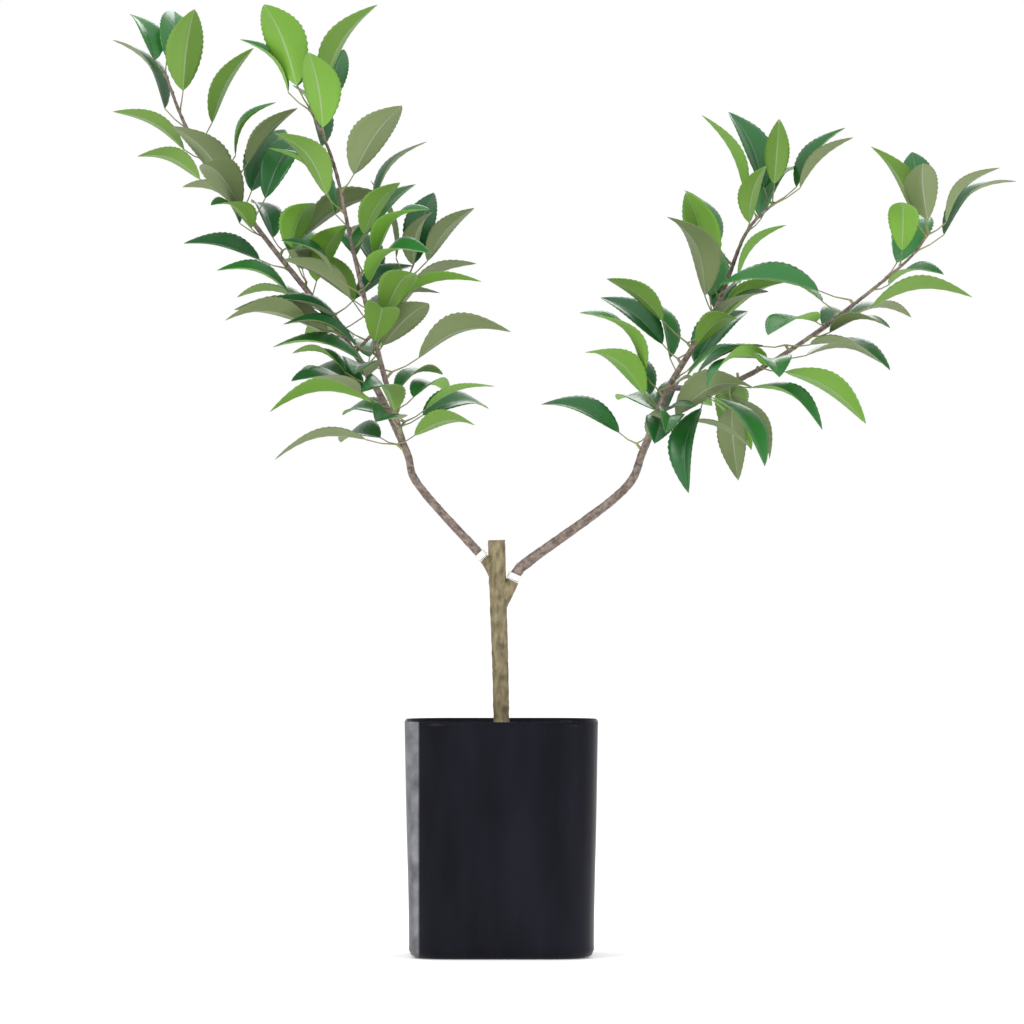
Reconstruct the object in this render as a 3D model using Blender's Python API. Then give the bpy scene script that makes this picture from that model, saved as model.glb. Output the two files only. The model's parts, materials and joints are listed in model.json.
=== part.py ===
"""A grafted apple tree in a black nursery bag.

Two scions grow from one sawn-off rootstock trunk and spread left and right. All sizes are in metres. The
origin is the centre of the bag's flat underside, +Z is up, +X is right in the front view, -Y is the front.
"""

import math
import random
from dataclasses import dataclass, field

import bmesh
import bpy
from mathutils import Matrix, Vector
from mathutils.bvhtree import BVHTree

GAP = 0.0003  # between solids that touch on the real tree
END_STRAIGHT = 0.0008  # the straight end of a limb, which keeps its cut square
LIMB_STEP = 0.012

# The bag is a film bag that its filling presses out into a rounded square.
BAG_HEIGHT = 0.235
BAG_TOP_WIDTH = 0.192
BAG_FOOT_WIDTH = 0.184
BAG_CORNER = 0.042
BAG_FOOT_ROUND = 0.008
BAG_WALL = 0.0012
SOIL_BELOW_RIM = 0.009
SOIL_MOUND = 0.004
MOUND_SHOULDER = 0.028  # less than the bag's corner, so that the inset's corners stay round

# The rootstock trunk runs from the soil to its sawn top, where callus has swollen it.
TRUNK_TOP = 0.4150
TRUNK_LEAN = -0.0050
TRUNK_RADIUS = 0.0079
TRUNK_FLARE = 0.0018
TRUNK_FLARE_HEIGHT = 0.014
CALLUS_SWELLING = 0.0014
SAW_SLOPE = math.radians(14)

# Graft tape is wound once round the foot of each scion.
TAPE_WIDTH = 0.0060
TAPE_THICKNESS = 0.0009
TAPE_CLEARANCE = 0.0006  # room for the scion's bend inside the sleeve

# An apple shoot sets its buds two fifths of a turn apart. Old wood bears spurs with a rosette of leaves,
# and young wood single leaves.
BUD_EVERY = 0.021
BUD_TURN = math.radians(144)
ROSETTE_TURN = math.radians(137.5)
OLD_SPUR = 0.016
YOUNG_SPUR = 0.003
SPUR_RADIUS = 0.0014
OLD_ROSETTE = 3.2
YOUNG_ROSETTE = 1.0
TIP_LEAVES = 3
TIP_SUNK = 0.004  # how far inside a shoot's end its last leaves are rooted
STALK_LENGTH = (0.020, 0.034)
STALK_RADIUS = 0.0008
BLADE_LENGTH = (0.066, 0.104)
BLADE_WIDTH = (0.40, 0.50)  # of its length
BLADE_THICKNESS = 0.012  # of its length, at the margin's inside
BLADE_FOLD = (22, 36)  # degrees that each half rises from flat
BLADE_ARCH = (0.08, 0.18)  # of its length
BLADE_ROLL = 26  # degrees either way
FORWARD = 0.45  # how strongly a blade follows its shoot
CLEARANCE = 0.0006  # kept round every leaf
TURNS_TRIED = (0, 24, -24, 50, -50, 80, -80)

# The crown's space.
CROWN_LEFT = -0.4525
CROWN_RIGHT = 0.5225
CROWN_TOP = 0.9550


def mix(a, b, share):
    return a + (b - a) * share


def smooth(points, steps=8):
    """A dense line on the smooth curve through the points."""
    ends = [points[0] * 2 - points[1], *points, points[-1] * 2 - points[-2]]
    line = []
    for a, b, c, d in zip(ends, ends[1:], ends[2:], ends[3:]):
        for i in range(steps):
            t = i / steps
            line.append(
                0.5 * (2 * b + (c - a) * t + (2 * a - 5 * b + 4 * c - d) * t**2 + (3 * b - a - 3 * c + d) * t**3)
            )
    return [*line, points[-1].copy()]


@dataclass
class Limb:
    """A tapering limb through its bends. Blades rise by old_rise degrees near its foot, young_rise at its
    tip, and age is how young its foot is, from 0 on the oldest wood to 1."""

    bends: list
    foot_radius: float
    tip_radius: float
    age: float = 0.0
    old_rise: float = -45
    young_rise: float = 40
    resolution: int = 2
    line: list = field(init=False)
    reach: list = field(init=False)

    def __post_init__(self):
        self.line = smooth([Vector(p) for p in self.bends])
        self.reach = [0.0]
        for a, b in zip(self.line, self.line[1:]):
            self.reach.append(self.reach[-1] + (b - a).length)

    @property
    def length(self):
        return self.reach[-1]

    def at(self, share):
        """The axis point, direction and radius at a share of the limb's length."""
        station = share * self.length
        i = 1
        while i < len(self.reach) - 1 and self.reach[i] < station:
            i += 1
        a, b = self.line[i - 1], self.line[i]
        t = (station - self.reach[i - 1]) / (self.reach[i] - self.reach[i - 1])
        return a.lerp(b, t), (b - a).normalized(), mix(self.foot_radius, self.tip_radius, share)


@dataclass
class Mass:
    """Leaves on one stem, which is the first stretch. A stretch is a limb and the shares where it starts
    and ends. bearing is the first bud's, in degrees anticlockwise from +X seen from above."""

    name: str
    stretches: list
    bearing: float
    seed: int


LEFT_LEADER = Limb(
    [(-0.0180, 0, 0.397), (-0.083, 0.002, 0.470), (-0.097, 0.005, 0.508), (-0.144, 0.014, 0.598),
     (-0.242, 0.040, 0.724), (-0.310, 0.064, 0.817), (-0.341, 0.080, 0.888)],
    foot_radius=0.0044, tip_radius=0.0014,
)  # fmt: skip
LEFT_SECOND = Limb(
    [(-0.097, 0.005, 0.508), (-0.120, -0.020, 0.590), (-0.147, -0.048, 0.701), (-0.166, -0.066, 0.787),
     (-0.191, -0.076, 0.846)],
    foot_radius=0.0030, tip_radius=0.0013, age=0.3, old_rise=-30, young_rise=50,
)  # fmt: skip
LEFT_TWIG = Limb(
    [LEFT_LEADER.at(0.41)[0], (-0.122, 0.034, 0.632), (-0.094, 0.050, 0.680)],
    foot_radius=0.0018, tip_radius=0.0012, age=0.6, old_rise=0, young_rise=45, resolution=1,
)  # fmt: skip
RIGHT_LEADER = Limb(
    [(0.0115, 0, 0.375), (0.0165, 0, 0.384), (0.030, 0, 0.396), (0.120, -0.002, 0.463), (0.142, 0, 0.505), (0.167, 0.004, 0.567),
     (0.214, 0.024, 0.645), (0.245, 0.046, 0.722), (0.275, 0.060, 0.755)],
    foot_radius=0.0055, tip_radius=0.0013, old_rise=-35, young_rise=50,
)  # fmt: skip
RIGHT_SPREADER = Limb(
    [(0.167, 0.004, 0.567), (0.224, -0.014, 0.570), (0.298, -0.046, 0.611), (0.394, -0.090, 0.685),
     (0.424, -0.104, 0.720)],
    foot_radius=0.0030, tip_radius=0.0012, age=0.4, old_rise=-65, young_rise=35,
)  # fmt: skip
RIGHT_SPUR = Limb(
    [RIGHT_LEADER.at(0.43)[0], (0.168, -0.014, 0.537)],
    foot_radius=0.0024, tip_radius=0.0018, old_rise=-60, young_rise=-20, resolution=1,
)  # fmt: skip

# The bare boughs: a name, a limb, and the share of it that is bare.
BOUGHS = [("left_bough", LEFT_LEADER, 0.195), ("right_bough", RIGHT_LEADER, 0.36)]
MASSES = [
    Mass("left_fork_leaves", [(LEFT_LEADER, 0.195, 0.31), (LEFT_SECOND, 0, 0.16)], 200, 1),
    Mass("left_leader_middle_leaves", [(LEFT_LEADER, 0.31, 0.56), (LEFT_TWIG, 0, 1)], 140, 2),
    Mass("left_leader_upper_leaves", [(LEFT_LEADER, 0.56, 0.80)], 170, 3),
    Mass("left_leader_tip_leaves", [(LEFT_LEADER, 0.80, 1)], 190, 4),
    Mass("left_second_middle_leaves", [(LEFT_SECOND, 0.16, 0.58)], 0, 5),
    Mass("left_second_tip_leaves", [(LEFT_SECOND, 0.58, 1)], 20, 6),
    Mass("right_fork_leaves", [(RIGHT_LEADER, 0.36, 0.60), (RIGHT_SPREADER, 0, 0.12), (RIGHT_SPUR, 0, 1)], 160, 7),
    Mass("right_leader_middle_leaves", [(RIGHT_LEADER, 0.60, 0.80)], 170, 8),
    Mass("right_leader_tip_leaves", [(RIGHT_LEADER, 0.80, 1)], 150, 9),
    Mass("right_spreader_lower_leaves", [(RIGHT_SPREADER, 0.12, 0.56)], 330, 10),
    Mass("right_spreader_tip_leaves", [(RIGHT_SPREADER, 0.56, 1)], 10, 11),
]


def finish(name, colour, roughness):
    """A plain material in the part's own colour."""
    material = bpy.data.materials.new(name)
    material.use_nodes = True
    shader = material.node_tree.nodes["Principled BSDF"]
    shader.inputs["Base Color"].default_value = (*colour, 1)
    shader.inputs["Roughness"].default_value = roughness
    shader.inputs["Metallic"].default_value = 0.0
    material.diffuse_color = (*colour, 1)
    return material


def put(name, bm, material):
    """Links a finished bmesh as a named object."""
    bmesh.ops.recalc_face_normals(bm, faces=bm.faces)
    mesh = bpy.data.meshes.new(name)
    bm.to_mesh(mesh)
    bm.free()
    mesh.materials.append(material)
    made = bpy.data.objects.new(name, mesh)
    bpy.context.scene.collection.objects.link(made)
    return made


def draw_out(bm, face):
    """Extrudes a face in place and returns the new one, leaving no face inside."""
    made = bmesh.ops.extrude_face_region(bm, geom=[face])["geom"]
    if any(len(edge.link_faces) > 2 for edge in face.edges):
        bmesh.ops.delete(bm, geom=[face], context="FACES_ONLY")
    return next(part for part in made if isinstance(part, bmesh.types.BMFace))


def limb_curve(name, limb, start, end, material):
    """A stretch of a limb, half the gap short at each cut, as a curve whose radius tapers."""
    cut, square = GAP / 2 / limb.length, END_STRAIGHT / limb.length
    first, last = start + cut, end - cut
    count = math.ceil((last - first) * limb.length / LIMB_STEP)
    shares = [first, *(mix(first + square, last - square, i / count) for i in range(count + 1)), last]
    curve = bpy.data.curves.new(name, "CURVE")
    curve.dimensions = "3D"
    curve.bevel_depth = 1.0
    curve.bevel_resolution = limb.resolution
    curve.use_fill_caps = True
    spline = curve.splines.new("POLY")
    spline.points.add(len(shares) - 1)
    for share, point in zip(shares, spline.points):
        place, _, radius = limb.at(share)
        point.co = (*place, 1)
        point.radius = radius
    curve.materials.append(material)
    made = bpy.data.objects.new(name, curve)
    bpy.context.scene.collection.objects.link(made)
    return made


def meshed(curve_object):
    """Puts a mesh object in a curve object's place, with its caps welded on."""
    name = curve_object.name
    graph = bpy.context.evaluated_depsgraph_get()
    mesh = bpy.data.meshes.new_from_object(curve_object.evaluated_get(graph))
    bpy.data.objects.remove(curve_object)
    bm = bmesh.new()
    bm.from_mesh(mesh)
    bmesh.ops.remove_doubles(bm, verts=bm.verts, dist=0.00001)
    bm.to_mesh(mesh)
    bm.free()
    made = bpy.data.objects.new(name, mesh)
    bpy.context.scene.collection.objects.link(made)
    return made


def fuse(base, pieces):
    """Joins closed pieces to the base with one Boolean union, applies it and removes the pieces."""
    bunch = bpy.data.collections.new(base.name + "_pieces")
    bpy.context.scene.collection.children.link(bunch)
    for piece in pieces:
        bpy.context.scene.collection.objects.unlink(piece)
        bunch.objects.link(piece)
    union = base.modifiers.new("union", "BOOLEAN")
    union.operation = "UNION"
    union.operand_type = "COLLECTION"
    union.collection = bunch
    union.solver = "MANIFOLD"
    graph = bpy.context.evaluated_depsgraph_get()
    fused = bpy.data.meshes.new_from_object(base.evaluated_get(graph))
    base.modifiers.clear()
    base.data = fused
    keep_main_skin(fused)
    for piece in pieces:
        bpy.data.objects.remove(piece)
    bpy.data.collections.remove(bunch)


def keep_main_skin(mesh):
    """Fills any hollow that fusing sealed and drops any loose scrap, by keeping only the largest skin."""
    bm = bmesh.new()
    bm.from_mesh(mesh)
    skins, left = [], set(bm.verts)
    while left:
        skin, edge = set(), [left.pop()]
        while edge:
            vert = edge.pop()
            skin.add(vert)
            near = {e.other_vert(vert) for e in vert.link_edges} & left
            left -= near
            edge += near
        skins.append(skin)
    main_skin = max(skins, key=len)
    bmesh.ops.delete(bm, geom=[v for v in bm.verts if v not in main_skin], context="VERTS")
    bm.to_mesh(mesh)
    bm.free()


def bag_block(low, high, inset):
    """A closed block with the bag's tapering, rounded outline, moved in by an inset."""
    bm = bmesh.new()
    bmesh.ops.create_cube(bm, size=1)
    for vert in bm.verts:
        height = high if vert.co.z > 0 else low
        width = mix(BAG_FOOT_WIDTH, BAG_TOP_WIDTH, height / BAG_HEIGHT) - 2 * inset
        vert.co = (math.copysign(width / 2, vert.co.x), math.copysign(width / 2, vert.co.y), height)
    corners = [e for e in bm.edges if abs(e.verts[0].co.z - e.verts[1].co.z) > 0.001]
    bmesh.ops.bevel(
        bm, geom=corners, offset=BAG_CORNER - inset, affect="EDGES", segments=6, profile=0.5, material=-1
    )
    foot = [e for e in bm.edges if max(v.co.z for v in e.verts) < low + 0.0001]
    bmesh.ops.bevel(
        bm, geom=foot, offset=BAG_FOOT_ROUND, affect="EDGES", segments=2, profile=0.5, material=-1
    )
    return bm


def top_face(bm):
    return max(bm.faces, key=lambda f: f.calc_center_median().z)


def make_bag(material):
    bm = bag_block(0, BAG_HEIGHT, 0)
    bmesh.ops.delete(bm, geom=[top_face(bm)], context="FACES_ONLY")
    bmesh.ops.recalc_face_normals(bm, faces=bm.faces)
    bmesh.ops.solidify(bm, geom=bm.faces, thickness=BAG_WALL)
    put("bag", bm, material)


def make_potting_mix(material):
    """The filling, just clear of the film, with its top gently mounded to a flat place for the trunk."""
    bm = bag_block(BAG_WALL + GAP, BAG_HEIGHT - SOIL_BELOW_RIM, BAG_WALL + GAP)
    top = top_face(bm)
    bmesh.ops.inset_region(bm, faces=[top], thickness=MOUND_SHOULDER, use_even_offset=True)
    bmesh.ops.translate(bm, verts=top.verts, vec=(0, 0, SOIL_MOUND))
    put("potting_mix", bm, material)
    return BAG_HEIGHT - SOIL_BELOW_RIM + SOIL_MOUND


def make_trunk(soil_top, material):
    """The rootstock: flared at the soil, swollen by callus at its sawn top and at each graft."""
    foot = soil_top + GAP
    height = TRUNK_TOP - foot
    bm = bmesh.new()
    bmesh.ops.create_circle(bm, cap_ends=True, segments=14, radius=1)
    bmesh.ops.translate(bm, verts=bm.verts, vec=(0, 0, foot))
    face = bm.faces[:][0]
    radius = 1.0
    for share in (0, 0.06, 0.2, 0.4, 0.6, 0.8, 0.92, 0.97, 1.0):
        wanted = TRUNK_RADIUS + TRUNK_FLARE * math.exp(-height * share / TRUNK_FLARE_HEIGHT)
        wanted += CALLUS_SWELLING * max(0, 1 - abs(share - 0.97) / 0.05)
        if share:
            face = draw_out(bm, face)
        middle = face.calc_center_median()
        place = Vector((TRUNK_LEAN * share, 0, foot + height * share))
        for vert in face.verts:
            vert.co = place + (vert.co - middle) * (wanted / radius)
        radius = wanted
    tilt = Matrix.Rotation(SAW_SLOPE, 3, "Y")
    bmesh.ops.rotate(bm, verts=face.verts, cent=face.calc_center_median(), matrix=tilt)
    trunk = put("trunk", bm, material)
    unions = []
    for limb, drop in ((LEFT_LEADER, 0.018), (RIGHT_LEADER, 0.026)):
        end, along, reach = limb.at(0)
        inside = Vector((TRUNK_LEAN * 0.8 + end.x * 0.1, 0, end.z - drop))
        shape = Limb([inside, end - along * reach * 1.5, end - along * GAP * 2], reach * 1.5, reach * 1.15)
        unions.append(meshed(limb_curve("union", shape, 0, 1, material)))
    fuse(trunk, unions)


def make_tape(name, limb, material):
    """One turn of tape, a short sleeve round the scion's foot."""
    middle, along, radius = limb.at(TAPE_WIDTH / 2 / limb.length + 0.0006 / limb.length)
    bm = bmesh.new()
    inner = radius + TAPE_CLEARANCE
    bmesh.ops.create_cone(
        bm, cap_ends=False, segments=14, radius1=inner, radius2=inner, depth=TAPE_WIDTH
    )
    bmesh.ops.recalc_face_normals(bm, faces=bm.faces)
    bmesh.ops.solidify(bm, geom=bm.faces, thickness=-TAPE_THICKNESS)
    tape = put(name, bm, material)
    tape.location = middle
    tape.rotation_mode = "QUATERNION"
    tape.rotation_quaternion = along.to_track_quat("Z", "Y")


class Leaf:
    """A leaf on its stalk, grown from a point in a direction."""

    def __init__(self, root, ahead, bearing, rise, dice):
        self.root = root
        self.ahead = ahead
        self.rise = rise + dice.uniform(-16, 16)
        self.bearing = bearing
        self.stalk = dice.uniform(*STALK_LENGTH)
        self.length = dice.uniform(*BLADE_LENGTH)
        self.half = self.length * dice.uniform(*BLADE_WIDTH) / 2
        self.fold = math.radians(dice.uniform(*BLADE_FOLD))
        self.arch = self.length * dice.uniform(*BLADE_ARCH)
        self.roll = math.radians(dice.uniform(-BLADE_ROLL, BLADE_ROLL))

    def hold(self, more_turn):
        """Sets the leaf's lines once its bearing is turned further."""
        bearing = self.bearing + math.radians(more_turn)
        rise = math.radians(self.rise)
        out = Vector((math.cos(bearing), math.sin(bearing), 0))
        self.reach = (out * math.cos(rise) + Vector((0, 0, math.sin(rise))) + self.ahead * FORWARD).normalized()
        stalk = (self.reach + out * 0.6 + self.ahead * 0.5).normalized() * self.stalk
        self.base = self.root + stalk
        level = self.reach.cross(Vector((0, 0, 1)))
        level = level.normalized() if level.length > 0.1 else out.cross(Vector((0, 0, 1)))
        upper = level.cross(self.reach)
        self.upper = upper * math.cos(self.roll) + level * math.sin(self.roll)
        self.side = self.reach.cross(self.upper)

    def skin(self, swell=0.0, with_stalk=True):
        """The leaf's closed skin as a bmesh, or the blade's alone."""
        rings = []
        if with_stalk:
            for share in (0.0, 0.55):
                rings.append((self.root.lerp(self.base, share), STALK_RADIUS + swell, 0.0, STALK_RADIUS + swell))
        for share in (0.0, 0.16, 0.42, 0.70, 0.90):
            wide = max(self.half * math.sin(math.pi * share**0.85) ** 0.8, STALK_RADIUS) + swell
            lift = math.sin(math.pi * share) * self.arch
            centre = self.base + self.reach * self.length * share + self.upper * lift
            deep = BLADE_THICKNESS * self.length / 2 + swell
            rings.append((centre, wide, self.fold if share else 0.0, deep))
        bm = bmesh.new()
        face = None
        for centre, wide, fold, deep in rings:
            across = self.side * math.cos(fold) * wide
            raised = self.upper * math.sin(fold) * wide
            places = (
                centre - across + raised, centre + self.upper * deep,
                centre + across + raised, centre - self.upper * deep,
            )  # fmt: skip
            if face is None:
                face = bm.faces.new([bm.verts.new(p) for p in places])
                continue
            face = draw_out(bm, face)
            for vert, place in zip(face.verts, places):
                vert.co = place
        tip = self.base + self.reach * (self.length + swell)
        bmesh.ops.pointmerge(bm, verts=face.verts, merge_co=tip)
        return bm

    def tree(self, with_stalk):
        bm = self.skin(CLEARANCE, with_stalk)
        found = BVHTree.FromBMesh(bm)
        inside = all(CROWN_LEFT < v.co.x < CROWN_RIGHT and v.co.z < CROWN_TOP for v in bm.verts)
        bm.free()
        return found, inside


class Crown:
    """Keeps every limb and leaf so far, so that a new twig or leaf is placed clear of them or skipped."""

    def __init__(self):
        self.limbs = []
        self.leaves = []

    def add_limb(self, mass, made):
        self.limbs.append((mass, tree_of(made)))

    def takes_spur(self, mass, made):
        """Whether a spur is clear of every other mass. If it is, it is kept."""
        spur = tree_of(made)
        others = [tree for owner, tree in self.limbs if owner != mass]
        others += [whole for owner, whole, _ in self.leaves if owner != mass]
        if any(spur.overlap(tree) for tree in others):
            return False
        self.limbs.append((mass, spur))
        return True

    def takes_leaf(self, mass, leaf):
        """Whether a leaf is clear in one of the turns tried. If it is, it is kept so."""
        for more_turn in TURNS_TRIED:
            leaf.hold(more_turn)
            whole, inside = leaf.tree(with_stalk=True)
            blade, _ = leaf.tree(with_stalk=False)
            clear = inside and not any(
                (blade if owner == mass else whole).overlap(limb) for owner, limb in self.limbs
            )
            if clear and not any(
                blade.overlap(other_blade) if owner == mass else whole.overlap(other_whole)
                for owner, other_whole, other_blade in self.leaves
            ):
                self.leaves.append((mass, whole, blade))
                return True
        return False


def tree_of(made):
    return BVHTree.FromObject(made, bpy.context.evaluated_depsgraph_get())


def grow(mass, pieces, crown, bark, green):
    """Spurs two fifths of a turn apart along the mass's limbs, each with a rosette of leaves, all fused."""
    dice = random.Random(mass.seed)
    bearing = math.radians(mass.bearing)
    for limb, start, end in mass.stretches:
        buds = max(1, round((end - start) * limb.length / BUD_EVERY))
        for i in range(buds):
            share = mix(start, end, (i + 0.7) / buds)
            youth = mix(limb.age, 1, share)
            place, along, _ = limb.at(share)
            out = Vector((math.cos(bearing), math.sin(bearing), 0.4))
            spur_end = place + (out + along * 0.6).normalized() * mix(OLD_SPUR, YOUNG_SPUR, youth)
            shape = Limb([place, spur_end], SPUR_RADIUS, SPUR_RADIUS, resolution=0)
            spur = meshed(limb_curve("spur", shape, 0, 1, bark))
            if crown.takes_spur(mass.name, spur):
                pieces.append(spur)
                for k in range(round(mix(OLD_ROSETTE, YOUNG_ROSETTE, youth))):
                    rise = mix(limb.old_rise, limb.young_rise, share)
                    leaf = Leaf(spur_end, along, bearing + k * ROSETTE_TURN, rise, dice)
                    if crown.takes_leaf(mass.name, leaf):
                        pieces.append(put("leaf", leaf.skin(), green))
            else:
                bpy.data.objects.remove(spur)
            bearing += BUD_TURN + dice.uniform(-0.3, 0.3)
        if end == 1:
            tip, along, _ = limb.at(1 - TIP_SUNK / limb.length)
            for k in range(TIP_LEAVES):
                leaf = Leaf(tip, along, bearing + k * math.tau / TIP_LEAVES, limb.young_rise, dice)
                if crown.takes_leaf(mass.name, leaf):
                    pieces.append(put("leaf", leaf.skin(), green))
    stem, *rest = pieces
    fuse(stem, rest)


def main():
    for old in list(bpy.data.objects):
        bpy.data.objects.remove(old)
    bark = finish("scion_bark", (0.17, 0.12, 0.095), 0.6)
    green = finish("leaf_green", (0.075, 0.20, 0.035), 0.45)
    tape = finish("graft_tape", (0.82, 0.81, 0.78), 0.5)
    make_bag(finish("black_film", (0.012, 0.012, 0.016), 0.35))
    soil_top = make_potting_mix(finish("compost", (0.035, 0.024, 0.017), 0.95))
    make_trunk(soil_top, finish("rootstock_bark", (0.20, 0.16, 0.085), 0.75))
    make_tape("left_graft_tape", LEFT_LEADER, tape)
    make_tape("right_graft_tape", RIGHT_LEADER, tape)
    crown = Crown()
    for name, limb, end in BOUGHS:
        crown.add_limb(name, limb_curve(name, limb, 0, end, bark))
    stems = {}
    for mass in MASSES:
        stems[mass.name] = [meshed(limb_curve(mass.name, *stretch, bark)) for stretch in mass.stretches]
        for stem in stems[mass.name]:
            crown.add_limb(mass.name, stem)
    for mass in MASSES:
        grow(mass, stems[mass.name], crown, bark, green)


main()
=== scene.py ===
"""The looks of the grafted apple tree in its nursery bag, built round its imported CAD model."""

import json
import math
import random
from dataclasses import dataclass, field

import bmesh
import bpy
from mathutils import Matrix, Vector, noise
from mathutils.bvhtree import BVHTree

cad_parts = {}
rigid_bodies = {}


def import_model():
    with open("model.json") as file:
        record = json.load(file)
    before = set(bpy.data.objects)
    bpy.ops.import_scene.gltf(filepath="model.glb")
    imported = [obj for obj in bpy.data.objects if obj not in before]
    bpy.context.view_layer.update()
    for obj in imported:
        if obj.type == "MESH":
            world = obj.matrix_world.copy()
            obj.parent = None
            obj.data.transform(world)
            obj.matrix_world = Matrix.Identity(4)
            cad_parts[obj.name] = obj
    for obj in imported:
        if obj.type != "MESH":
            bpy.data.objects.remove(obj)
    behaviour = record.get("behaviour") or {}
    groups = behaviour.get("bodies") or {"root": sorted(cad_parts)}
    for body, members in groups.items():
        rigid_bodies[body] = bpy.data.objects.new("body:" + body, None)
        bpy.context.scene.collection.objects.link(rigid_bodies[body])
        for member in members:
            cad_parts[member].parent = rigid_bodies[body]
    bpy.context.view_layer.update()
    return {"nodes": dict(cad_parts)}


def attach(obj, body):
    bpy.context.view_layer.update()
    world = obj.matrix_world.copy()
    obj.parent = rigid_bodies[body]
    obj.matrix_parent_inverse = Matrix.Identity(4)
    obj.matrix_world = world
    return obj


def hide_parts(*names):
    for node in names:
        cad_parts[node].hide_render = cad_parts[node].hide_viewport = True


for startup in list(bpy.data.objects):
    bpy.data.objects.remove(startup)
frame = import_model()

# The nursery bag is thin black polythene film, open at the top. Its filling presses it out into a rounded
# square, and its walls crease upright. Down its front left corner lies a painted sheen: a grey reflection
# painted into the film's colour.
BAG_HEIGHT = 0.235
BAG_TOP_WIDTH = 0.192
BAG_FOOT_WIDTH = 0.184
BAG_CORNER = 0.042
BAG_CORNER_FACETS = 6
BAG_FOOT_ROUND = 0.008
BAG_FOOT_FACETS = 2
BAG_WALL = 0.0012
FILM_THICKNESS = BAG_WALL / 2  # real film is thinner than the solid's wall
CREASE_RINGS = 40
CREASE_DEPTH = 0.0010
CREASE_SCALE = 22
CREASE_UPRIGHT = 0.35  # how fast the creases change upwards, against round the bag
LEVEL = 0.0001  # heights nearer than this are one height
WALL_LEAST = 0.05  # the least height of an edge that runs up a wall
FILM_SPECULAR = 0.08
# The painted sheen: a grey reflection painted into the film's base colour, with its tone, noise and corner
# mask.
PAINTED_SHEEN_TONE = (0.30, 0.31, 0.33)
PAINTED_SHEEN_SCALE = 60
PAINTED_SHEEN_SIDE = (-0.081, -0.083)  # x where the painted sheen starts and is full
PAINTED_SHEEN_FRONT = (-0.045, -0.075)  # y where the painted sheen starts and is full
MOTTLE_EDGES = (0.35, 0.68)  # of the noise, where the dark tone ends and the light tone begins
MOTTLE_DETAIL = 8
MOTTLE_DEPTH = 0.001


def mix(a, b, share):
    return a + (b - a) * share


def bag_width(height):
    return mix(BAG_FOOT_WIDTH, BAG_TOP_WIDTH, height / BAG_HEIGHT)


def placed(name, data):
    """Puts a mesh, a curve, a light or a camera in the scene as a named object."""
    made = bpy.data.objects.new(name, data)
    bpy.context.scene.collection.objects.link(made)
    return made


def put(name, bm, material):
    """Places a finished bmesh as a named piece of one material."""
    bmesh.ops.recalc_face_normals(bm, faces=bm.faces)
    mesh = bpy.data.meshes.new(name)
    bm.to_mesh(mesh)
    bm.free()
    mesh.materials.append(material)
    return placed(name, mesh)


def blank_material(name, roughness):
    """A new material, with its node tree and its shader."""
    material = bpy.data.materials.new(name)
    material.use_nodes = True
    shader = material.node_tree.nodes["Principled BSDF"]
    shader.inputs["Roughness"].default_value = roughness
    return material, material.node_tree, shader


def ramp(tree, low, high):
    """A node that rises from 0 to 1 as its value goes from low to high."""
    made = tree.nodes.new("ShaderNodeMapRange")
    made.inputs["From Min"].default_value = low
    made.inputs["From Max"].default_value = high
    return made


def product(tree, first, second):
    """The output of a node that multiplies two outputs."""
    made = tree.nodes.new("ShaderNodeMath")
    made.operation = "MULTIPLY"
    tree.links.new(first, made.inputs[0])
    tree.links.new(second, made.inputs[1])
    return made.outputs["Value"]


def mottle_group():
    """The node group for a mottled surface: one noise gives both its tones and its relief."""
    group = bpy.data.node_groups.new("mottle", "ShaderNodeTree")
    for name, side, kind in (
        ("Place", "INPUT", "NodeSocketVector"),
        ("Scale", "INPUT", "NodeSocketFloat"),
        ("Dark", "INPUT", "NodeSocketColor"),
        ("Light", "INPUT", "NodeSocketColor"),
        ("Relief", "INPUT", "NodeSocketFloat"),
        ("Color", "OUTPUT", "NodeSocketColor"),
        ("Normal", "OUTPUT", "NodeSocketVector"),
    ):
        group.interface.new_socket(name, in_out=side, socket_type=kind)
    given = group.nodes.new("NodeGroupInput")
    result = group.nodes.new("NodeGroupOutput")
    grain = group.nodes.new("ShaderNodeTexNoise")
    grain.inputs["Detail"].default_value = MOTTLE_DETAIL
    lightness = ramp(group, *MOTTLE_EDGES)
    tones = group.nodes.new("ShaderNodeMix")
    tones.data_type = "RGBA"
    relief = group.nodes.new("ShaderNodeBump")
    relief.inputs["Distance"].default_value = MOTTLE_DEPTH
    group.links.new(given.outputs["Place"], grain.inputs["Vector"])
    group.links.new(given.outputs["Scale"], grain.inputs["Scale"])
    group.links.new(grain.outputs["Fac"], lightness.inputs["Value"])
    group.links.new(lightness.outputs["Result"], tones.inputs["Factor"])
    group.links.new(given.outputs["Dark"], tones.inputs["A"])
    group.links.new(given.outputs["Light"], tones.inputs["B"])
    group.links.new(tones.outputs["Result"], result.inputs["Color"])
    group.links.new(given.outputs["Relief"], relief.inputs["Strength"])
    group.links.new(grain.outputs["Fac"], relief.inputs["Height"])
    group.links.new(relief.outputs["Normal"], result.inputs["Normal"])
    return group


MOTTLE = mottle_group()


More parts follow.
